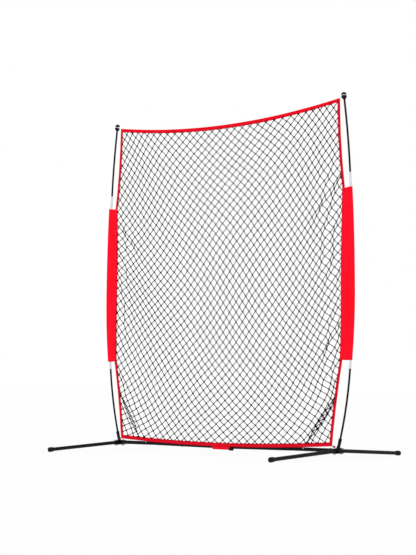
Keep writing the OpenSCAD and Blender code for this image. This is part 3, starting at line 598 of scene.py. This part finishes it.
def makeNet():
    rules = netRules
    place, live = hangNet()
    up, down = live[:-1, :-1], live[1:, :-1]
    starts = np.vstack([place[:-1, :-1][up], place[1:, :-1][down]])
    ends = np.vstack([place[1:, 1:][up], place[:-1, 1:][down]])
    starts, ends, cross = cutBars(starts, ends)
    bow = rng.normal(0, rules["spare"], (len(starts), 3)) + (0, 0, -0.5)
    t = np.linspace(0, 1, 4)[None, :, None]
    bars = starts[:, None] * (1 - t) + ends[:, None] * t + bow[:, None] * (4 * t * (1 - t))
    radius = np.full(bars.shape[:2], rules["twine"])
    radius[cross, -1] = rules["sewn"]
    verts, faces, uvs = tubeAlong(bars, radius, 6)
    net = makePiece("net_twine", verts, faces, twineFinish, uvs)
    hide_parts("net")
    # knots, and hitches where the net meets the tape: two turns of twine crossed over each other
    middle = place[live]
    middle = middle[tapeGap(middle[:, 0], middle[:, 2]) > 1]
    hitches = ends[cross] + unit(starts[cross] - ends[cross]) * (rules["tuck"] + 1)
    size = np.concatenate([np.full(len(middle), rules["knot"]), np.full(len(hitches), rules["knot"] * 0.8)])
    middle = np.vstack([middle, hitches])
    turn = np.linspace(0, 2 * np.pi, 8)
    varied = size[:, None, None] * rng.normal(1, 0.05, (len(middle), 1, 1))
    loops, asides = [], []
    for slant in (-0.7, 0.75):
        along = np.array([math.cos(slant), 0, math.sin(slant)])
        across = np.array([-math.sin(slant) * 0.6, 0.8, math.cos(slant) * 0.6])
        ring = np.cos(turn)[None, :, None] * along + np.sin(turn)[None, :, None] * across
        loops.append(middle[:, None] + ring * varied * (1.0, 0.85, 1.0))
        asides.append(np.broadcast_to(unit(np.cross(along, across)), middle.shape))
    high = middle[:, 2] > (lowCorner[1] + highCorner[1]) / 2
    pieces = [net]
    for part, chosen in (("low", ~high), ("high", high)):
        turns = np.vstack([loop[chosen] for loop in loops])
        aside = np.vstack([aside[chosen] for aside in asides])[:, None]
        verts, faces, uvs = tubeAlong(turns, rules["twine"] * rules["pulled"], 5, aside)
        pieces.append(makePiece("net_knots_" + part, verts, faces, twineFinish, uvs))
    for piece in pieces:
        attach(piece, "frame")


makeNet()
print("net knotted")


# border tapes
tapeRules = {
    "thick": 4.0,            # folded tape with the net's edge inside
    "stitchAt": 0.76,        # row of stitches, as a share of the width
    "stitch": 3.4, "gap": 1.4, "thread": 0.38,
    "turned": 3,             # what the thickness adds to the flat width
}


def foldedTape(name, outer, inner, node):
    # outer and inner are matching points (x, z) down the two edges of the tape
    count = len(outer)
    half = tapeRules["thick"] / 2
    section = []
    for turn in np.linspace(-90, 90, 7):             # the fold
        section.append((0.075 - 0.075 * math.cos(math.radians(turn)), half * math.sin(math.radians(turn))))
    seam = tapeRules["stitchAt"]
    for w in (0.25, 0.5, 0.7, seam, 0.88, 0.97):     # back face, drawn in at the stitches
        section.append((w, half - (0.55 if w == seam else 0.1)))
    section.append((1.0, half * 0.55))
    section.append((1.0, -half * 0.55))
    for w in (0.97, 0.88, seam, 0.7, 0.5, 0.25):
        section.append((w, -half + (0.55 if w == seam else 0.1)))
    section = np.array(section)
    run = np.concatenate([[0], np.cumsum(np.linalg.norm(np.diff(outer, axis=0), axis=1))])
    ease = np.clip(np.minimum(run, run[-1] - run) / 60, 0, 1)
    shift = 0.5 * ease * (np.sin(run / 71 + len(name)) + 0.6 * np.sin(run / 23.0 + 1))
    flat = outer[:, None] * (1 - section[None, :, :1]) + inner[:, None] * section[None, :, :1]
    swell = 1 + 0.05 * np.sin(run / 9.0)
    y = netDepth(flat[..., 1]) + shift[:, None] + section[None, :, 1] * swell[:, None]
    verts = np.stack([flat[..., 0], y, flat[..., 1]], axis=-1)
    n = len(section)
    faces = gridFaces(count, n, True).tolist()
    faces.append(list(range(n))[::-1])
    faces.append([(count - 1) * n + k for k in range(n)])
    width = float(np.linalg.norm(outer - inner, axis=1).mean())
    round_ = np.concatenate([[0], np.cumsum(np.hypot(*(np.diff(section * (width, 1), axis=0).T)))])
    uvs = np.stack(np.broadcast_arrays(round_[None], run[:, None]), axis=-1).reshape(-1, 2)
    finish = tapeFinish if node == "top_border" else edgeFinish
    tape = makePiece(name, verts.reshape(-1, 3), faces, finish, uvs)
    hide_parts(node)
    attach(tape, "frame")
    # stitches on both faces
    rows = []
    line = outer * (1 - seam) + inner * seam
    length = np.concatenate([[0], np.cumsum(np.linalg.norm(np.diff(line, axis=0), axis=1))])
    at = np.arange(8, length[-1] - 8, tapeRules["stitch"] + tapeRules["gap"])
    for side in (-1, 1):
        pts = []
        for k, lift in ((0.0, -0.5), (0.25, 0.15), (0.75, 0.15), (1.0, -0.5)):
            s = at + k * tapeRules["stitch"]
            x, z = np.interp(s, length, line[:, 0]), np.interp(s, length, line[:, 1])
            y = netDepth(z) + np.interp(s, length, shift) + side * (half - 0.5 + lift)
            pts.append(np.stack([x, y, z], axis=-1))
        rows.append(np.stack(pts, axis=1))
    verts, faces, uvs = tubeAlong(np.vstack(rows), tapeRules["thread"], 5)
    thread = makePiece(name + "_stitches", verts, faces, threadFinish, uvs)
    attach(thread, "frame")
    # the tape as sewn double
    return tape


def makeBorders():
    u = np.linspace(0, 1, 161)
    foldedTape("top_border_tape", sagged(highCorner, outlineRules["topSag"], u),
               sagged(sideInner[-1], outlineRules["topSag"], u), "top_border")
    foldedTape("bottom_border_tape", sagged(lowCorner, outlineRules["bottomSag"], u),
               sagged(sideInner[0], outlineRules["bottomSag"], u), "bottom_border")
    for sign, name in ((-1, "left"), (1, "right")):
        outer, inner = [], []
        for k in range(len(sideOuter) - 1):
            steps = np.linspace(0, 1, 22 if k in (0, len(sideOuter) - 2) else 10)[:-1]
            for t in steps:
                outer.append(sideOuter[k] * (1 - t) + sideOuter[k + 1] * t)
                inner.append(sideInner[k] * (1 - t) + sideInner[k + 1] * t)
        outer.append(sideOuter[-1])
        inner.append(sideInner[-1])
        outer, inner = np.array(outer) * (sign, 1), np.array(inner) * (sign, 1)
        foldedTape(name + "_border_tape", outer, inner, name + "_border")


makeBorders()
print("borders sewn")


# side sleeves
sleeveRules = {
    "round": {"left": 16.0, "right": 10.0},          # outer radius round the pole
    "cloth": 0.9,
    "lap": 15.0,            # how far it laps over the border tape
    "hem": 15.0,
    "slant": 5.0,           # how far its top edge falls towards the net
    "stitch": 3.4, "step": 4.8, "thread": 0.38,
    "flat": (0.205, 1.006),     # girth and length of the cloth, in metres
}


def makeSleeve(side, name):
    rules = sleeveRules
    levels = 101
    steps = sleeveSteps(levels)
    run = np.linspace(0, outlineRules["sleeveLength"], levels)
    rings, uvs = [], []
    for k, (at, lean, edge) in enumerate(steps):
        hem = 0.7 if min(run[k], run[-1] - run[k]) < rules["hem"] else 0.0
        wave = 0.5 * math.sin(run[k] / 37.0 + side) + 0.35 * math.sin(run[k] / 13.5)
        r = rules["round"][name] - 0.4 + hem * 0.5
        frontY, backY = netDepth(at[1]) - 2.8, netDepth(at[1]) + 2.8
        outer = [(edge - rules["lap"], frontY), (edge - rules["lap"] * 0.5, frontY - 0.1),
                 (edge - 2, frontY - 0.1)]
        for t in (0.2, 0.4, 0.6, 0.8):
            tight = 1 - (1 - t) ** 1.6
            pull = math.sin(math.pi * t) * wave
            outer.append((edge + (at[0] - 3 - edge) * t, frontY + (-r - frontY) * tight + pull - hem * 0.4))
        for turn in np.linspace(-105, 105, 15):
            outer.append((at[0] + r * math.cos(math.radians(turn)), r * math.sin(math.radians(turn))))
        for t in (0.8, 0.6, 0.4, 0.2):
            tight = 1 - (1 - t) ** 1.6
            pull = math.sin(math.pi * t) * wave
            across = edge + (at[0] - 3 - edge) * t
            outer.append((across, backY + (r - backY) * tight - pull * 0.8 + hem * 0.4))
        outer += [(edge - 2, backY + 0.1), (edge - rules["lap"] * 0.5, backY + 0.1),
                  (edge - rules["lap"], backY)]
        outer = np.array(outer)
        tangent = unit(np.gradient(outer, axis=0))
        inward = np.stack([-tangent[:, 1], tangent[:, 0]], axis=-1)
        inner = outer + inward * rules["cloth"]
        section = np.vstack([outer, inner[::-1]])
        fall = rules["slant"] * np.clip((run[k] / run[-1] - 0.9) / 0.1, 0, 1)
        z = at[1] - fall * np.clip((at[0] - section[:, 0]) / (at[0] - edge), 0, 1)
        rings.append(np.stack([section[:, 0] * side, section[:, 1], z], axis=-1))
        round_ = np.concatenate([[0], np.cumsum(np.linalg.norm(np.diff(outer, axis=0), axis=1))])
        round_ = np.concatenate([round_, round_[::-1]])
        uvs.append(np.stack([round_, np.full(len(section), run[k])], axis=-1))
    rings = np.array(rings)
    n = rings.shape[1]
    half = n // 2
    faces = gridFaces(levels, n, True).tolist()
    for base, flip in ((0, False), ((levels - 1) * n, True)):
        for k in range(half - 1):
            quad = [base + k, base + n - 1 - k, base + n - 2 - k, base + k + 1]
            faces.append(quad[::-1] if flip else quad)
    sleeve = makePiece(name + "_sleeve_cloth", rings.reshape(-1, 3), faces, clothFinish, np.vstack(uvs))
    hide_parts(name + "_sleeve")
    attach(sleeve, "frame")
    # two rows of stitches along the seam and one round each hem
    lines = []
    for inset in (4.0, 12.5):
        for out in (-1, 1):
            line = np.array([[(edge - rules["lap"] + inset) * side, netDepth(at[1]) + 2.95 * out, at[1]]
                             for at, lean, edge in steps[:-4]])
            lines.append((line, np.array([0, out, 0])))
    rows = []
    for line, out in lines:
        length = np.concatenate([[0], np.cumsum(np.linalg.norm(np.diff(line, axis=0), axis=1))])
        at = np.arange(5, length[-1] - 6, rules["step"])
        pts = []
        for k, lift in ((0.0, -0.5), (0.25, 0.22), (0.75, 0.22), (1.0, -0.5)):
            s = at + k * rules["stitch"]
            pts.append(np.stack([np.interp(s, length, line[:, i]) for i in range(3)], axis=-1) + out * lift)
        rows.append(np.stack(pts, axis=1))
    for level in (9, levels - 10):
        loop = rings[level, :half]
        loop = loop[(np.abs(loop[:, 0]) > abs(steps[level][2]))]
        length = np.concatenate([[0], np.cumsum(np.linalg.norm(np.diff(loop, axis=0), axis=1))])
        at = np.arange(3, length[-1] - 5, rules["step"])
        centre = np.array([steps[level][0][0] * side, 0, steps[level][0][1]])
        pts = []
        for k, lift in ((0.0, -0.5), (0.25, 0.25), (0.75, 0.25), (1.0, -0.5)):
            s = at + k * rules["stitch"]
            p = np.stack([np.interp(s, length, loop[:, i]) for i in range(3)], axis=-1)
            away = unit((p - centre) * (0.15, 1, 0))
            pts.append(p + away * lift)
        rows.append(np.stack(pts, axis=1))
    verts, faces, uvs = tubeAlong(np.vstack(rows), rules["thread"], 5)
    thread = makePiece(name + "_sleeve_stitches", verts, faces, threadFinish, uvs)
    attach(thread, "frame")


makeSleeve(-1, "left")
makeSleeve(1, "right")
print("sleeves sewn")


# corner loops, centre strap and its cord
def smoothPath(points, count):
    points = np.asarray(points, dtype=float)
    padded = np.vstack([2 * points[0] - points[1], points, 2 * points[-1] - points[-2]])
    out = []
    spans = len(points) - 1
    for s in np.linspace(0, spans, count):
        i = min(int(s), spans - 1)
        t = s - i
        p0, p1, p2, p3 = padded[i:i + 4]
        out.append(0.5 * (2 * p1 + (p2 - p0) * t + (2 * p0 - 5 * p1 + 4 * p2 - p3) * t * t
                          + (3 * p1 - p0 - 3 * p2 + p3) * t ** 3))
    return np.array(out)


def closeEnds(faces, points, sides):
    return faces.tolist() + [list(range(sides))[::-1], [(points - 1) * sides + k for k in range(sides)]]


def cordPiece(name, path, radius, finish, sides=12):
    verts, faces, uvs = tubeAlong(path[None], radius, sides)
    piece = makePiece(name, verts, closeEnds(faces, len(path), sides), finish, uvs)
    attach(piece, "frame")
    return piece


def makeTopLoops():
    rules = {"groove": 9.0, "cord": 2.1, "grooveUp": -2.2}
    lean = math.radians(topLean)
    for side, name in ((-1, "left"), (1, "right")):
        axis = np.array([math.sin(lean), 0, math.cos(lean)])
        out = np.array([math.cos(lean), 0, -math.sin(lean)])
        centre = np.array([poleTop[0], 0, poleTop[1]]) + rules["grooveUp"] * axis
        r = rules["groove"] + rules["cord"] + 0.25
        points = []
        corner = np.array([highCorner[0] - 4, netDepth(highCorner[1] - 5), highCorner[1] - 5])
        points.append(corner + (0, -1.3, 0))
        points.append(corner + (6, -1.5, 4))
        for turn in np.linspace(-125, 190, 15):
            a = math.radians(turn)
            points.append(centre + r * (math.cos(a) * out + math.sin(a) * np.array([0, 1, 0])))
        points.append(corner + (7, 2.6, 5))
        points.append(corner + (0, 1.6, 0))
        path = smoothPath(points, 90) * (side, 1, 1)
        piece = cordPiece("top_" + name + "_elastic", path, rules["cord"], elasticFinish)
        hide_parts("top_" + name + "_loop")


def makeBottomLoops():
    rules = {"cord": 1.5, "root": (869.0, -8.5, 59.5), "ball": (862.5, -13.5, 71.5), "stem": 2.8}
    for side, name in ((-1, "left"), (1, "right")):
        root, ball = np.array(rules["root"]), np.array(rules["ball"])
        axis = unit(ball - root)
        centre = root + axis * (np.linalg.norm(ball - root) - 4.6 - rules["cord"] - 1.2)
        out = unit(np.cross(axis, (0.0, 1.0, 0.0)))
        over = np.cross(axis, out)
        corner = np.array([lowCorner[0] - 4, netDepth(lowCorner[1] + 4), lowCorner[1] + 4])
        r = rules["stem"] + rules["cord"] + 0.2
        away = unit((centre - corner) - np.dot(centre - corner, axis) * axis)
        first = math.atan2(np.dot(away, over), np.dot(away, out))
        points = [corner + (0, -1.2, 0), corner + (5, -1.6, -2)]
        for turn in np.linspace(-130, 130, 13):
            a = first + math.radians(turn)
            points.append(centre + r * (math.cos(a) * out + math.sin(a) * over))
        points += [corner + (5, 1.8, -1), corner + (0, 1.4, 0)]
        path = smoothPath(points, 80) * (side, 1, 1)
        piece = cordPiece("bottom_" + name + "_cord", path, rules["cord"], redCordFinish)
        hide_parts("bottom_" + name + "_loop")


def makeStrapEar():
    # the folded tab at the end of the strap that holds its cord
    rules = {"from": 60.1, "wide": 12.0, "bar": 43.0, "way": 215.0, "root": 11.9, "reach": 23.4, "half": 1.9}
    way = math.radians(rules["way"])
    out, across = np.array([math.cos(way), math.sin(way)]), np.array([-math.sin(way), math.cos(way)])
    section = [(rules["root"], -rules["half"])]
    for turn in np.linspace(-90, 90, 11):
        a = math.radians(turn)
        section.append((rules["reach"] - rules["half"] * (1 - math.cos(a)), rules["half"] * math.sin(a)))
    section.append((rules["root"], rules["half"]))
    section = np.array(section)
    rings = []
    for along, size in ((0.0, 0.8), (0.06, 1.0), (0.5, 0.96), (0.94, 1.0), (1.0, 0.8)):
        flat = (0, rules["bar"]) + section[:, :1] * out + section[:, 1:] * size * across
        rings.append(np.column_stack([np.full(len(flat), rules["from"] + along * rules["wide"]), flat]))
    faces = closeEnds(gridFaces(len(rings), len(section), True), len(rings), len(section))
    rings = np.vstack(rings)
    ear = makePiece("centre_strap_ear", rings, faces, clothFinish, rings[:, [0, 2]])
    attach(ear, "frame")
    return ear


def makeStrap():
    rules = {"wide": 143.0, "thick": 1.2, "bar": 43.0, "round": 12.5, "top": 59.0, "slack": 4.5}
    across = np.linspace(-rules["wide"] / 2, rules["wide"] / 2, 49)
    path = [(-12.85, rules["top"]), (-12.85, 52.0), (-12.75, 47.0)]
    for turn in np.linspace(180, 500, 31):
        a = math.radians(turn)
        hang = rules["slack"] * max(0, -math.sin(a))
        path.append((rules["round"] * math.cos(a), rules["bar"] + rules["round"] * math.sin(a) - hang))
    path = path[:-1]
    path = np.array(path)
    rings, uvs = [], []
    for k, x in enumerate(across):
        hem = 0.35 if rules["wide"] / 2 - abs(x) < 9 else 0.0
        ripple = 0.35 * math.sin(x / 11.0) + 0.2 * math.sin(x / 4.1 + 1)
        tangent = unit(np.gradient(path, axis=0))
        outward = np.stack([tangent[:, 1], -tangent[:, 0]], axis=-1)
        loose = (path[:, 1] < rules["bar"])[:, None] * (0.45 + ripple)
        outer = path - outward * (rules["thick"] / 2 + hem + loose)
        inner = path + outward * (rules["thick"] / 2) * 0.8
        section = np.vstack([outer, inner[::-1]])
        rings.append(np.stack([np.full(len(section), x), section[:, 0], section[:, 1]], axis=-1))
        run = np.concatenate([[0], np.cumsum(np.linalg.norm(np.diff(path, axis=0), axis=1))])
        uvs.append(np.stack([np.concatenate([run, run[::-1]]), np.full(len(section), x)], axis=-1))
    rings = np.array(rings)
    n = rings.shape[1]
    faces = gridFaces(len(across), n, True).tolist()
    for base, flip in ((0, False), ((len(across) - 1) * n, True)):
        for k in range(n // 2 - 1):
            quad = [base + k, base + n - 1 - k, base + n - 2 - k, base + k + 1]
            faces.append(quad[::-1] if flip else quad)
    strap = makePiece("centre_strap_cloth", rings.reshape(-1, 3), faces, clothFinish, np.vstack(uvs))
    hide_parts("centre_strap")
    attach(strap, "frame")
    makeStrapEar()


def makeStrapCord():
    rules = {"from": (72.1, -17.04, 31.07), "length": 31.5, "thick": 3.0, "knot": 3.0}
    start = np.array(rules["from"])
    path = start + np.linspace(0, rules["length"], 15)[:, None] * np.array([1, 0, 0])
    cord = cordPiece("strap_cord_line", path, rules["thick"] / 2, twineFinish, 10)
    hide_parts("strap_cord")
    turn = np.linspace(0, 4 * np.pi, 33)
    knotPath = np.stack([path[-1][0] - 1 + np.linspace(0, 3.2, 33), start[1] + 1.7 * np.cos(turn),
                         start[2] + 1.7 * np.sin(turn)], axis=-1)
    knot = cordPiece("strap_cord_knot", knotPath, 1.25, twineFinish, 8)


makeTopLoops()
makeBottomLoops()
makeStrap()
makeStrapCord()
print("loops and strap tied")


# floor, background and light
lightRules = {
    "world": 0.74,
    "key": 1.25, "keyFrom": (0.35, -0.75, 0.65), "keySpread": 35.0,     # degrees
    "floor": (0.92, 0.92, 0.92), "floorLift": 0.9,
}


def makeFloor():
    finish = bpy.data.materials.new("paleFloor")
    finish.use_nodes = True
    tree = finish.node_tree
    shader = tree.nodes["Principled BSDF"]
    shader.inputs["Roughness"].default_value = 0.9
    shader.inputs["Specular IOR Level"].default_value = 0.1
    grain = stretchedNoise(tree, (1, 1, 1), 30, 4)
    low = lightRules["floor"]
    spreadColour(tree, shader, grain, low, tuple(c + 0.02 for c in low))
    glow = addNode(tree, "ShaderNodeEmission")
    glow.inputs["Color"].default_value = (1, 1, 1, 1)
    rays = addNode(tree, "ShaderNodeLightPath")
    seen = addNode(tree, "ShaderNodeMath", operation="MAXIMUM")
    tree.links.new(rays.outputs["Is Camera Ray"], seen.inputs[0])
    tree.links.new(rays.outputs["Is Glossy Ray"], seen.inputs[1])
    lift = addNode(tree, "ShaderNodeMath", operation="MULTIPLY")
    lift.inputs[1].default_value = lightRules["floorLift"]
    tree.links.new(seen.outputs[0], lift.inputs[0])
    mix = addNode(tree, "ShaderNodeMixShader")
    tree.links.new(lift.outputs[0], mix.inputs["Fac"])
    tree.links.new(shader.outputs[0], mix.inputs[1])
    tree.links.new(glow.outputs[0], mix.inputs[2])
    tree.links.new(mix.outputs[0], tree.nodes["Material Output"].inputs["Surface"])
    mesh = bpy.data.meshes.new("paleFloor")
    mesh.from_pydata([(-60, -60, 0), (60, -60, 0), (60, 60, 0), (-60, 60, 0)], [], [(0, 1, 2, 3)])
    mesh.materials.append(finish)
    floor = bpy.data.objects.new("paleFloor", mesh)
    bpy.context.collection.objects.link(floor)


def makeLights():
    world = bpy.data.worlds.new("softRoom")
    world.use_nodes = True
    bpy.context.scene.world = world
    tree = world.node_tree
    back = tree.nodes["Background"]
    back.inputs["Color"].default_value = (1, 1, 1, 1)
    rays = addNode(tree, "ShaderNodeLightPath")
    seen = addNode(tree, "ShaderNodeMath", operation="MAXIMUM")
    tree.links.new(rays.outputs["Is Camera Ray"], seen.inputs[0])
    tree.links.new(rays.outputs["Is Glossy Ray"], seen.inputs[1])
    more = addNode(tree, "ShaderNodeMath", operation="MAXIMUM")
    tree.links.new(seen.outputs[0], more.inputs[0])
    tree.links.new(rays.outputs["Is Transmission Ray"], more.inputs[1])
    level = addNode(tree, "ShaderNodeMapRange")
    level.inputs["To Min"].default_value = lightRules["world"]
    level.inputs["To Max"].default_value = 1.0
    tree.links.new(more.outputs[0], level.inputs["Value"])
    tree.links.new(level.outputs["Result"], back.inputs["Strength"])
    lamp = bpy.data.lights.new("softKey", "SUN")
    lamp.angle = math.radians(lightRules["keySpread"])
    lamp.energy = lightRules["key"]
    key = bpy.data.objects.new("softKey", lamp)
    key.matrix_world = (-Vector(lightRules["keyFrom"])).to_track_quat("-Z", "Y").to_matrix().to_4x4()
    bpy.context.collection.objects.link(key)


makeFloor()
makeLights()
print("floor and lights set")
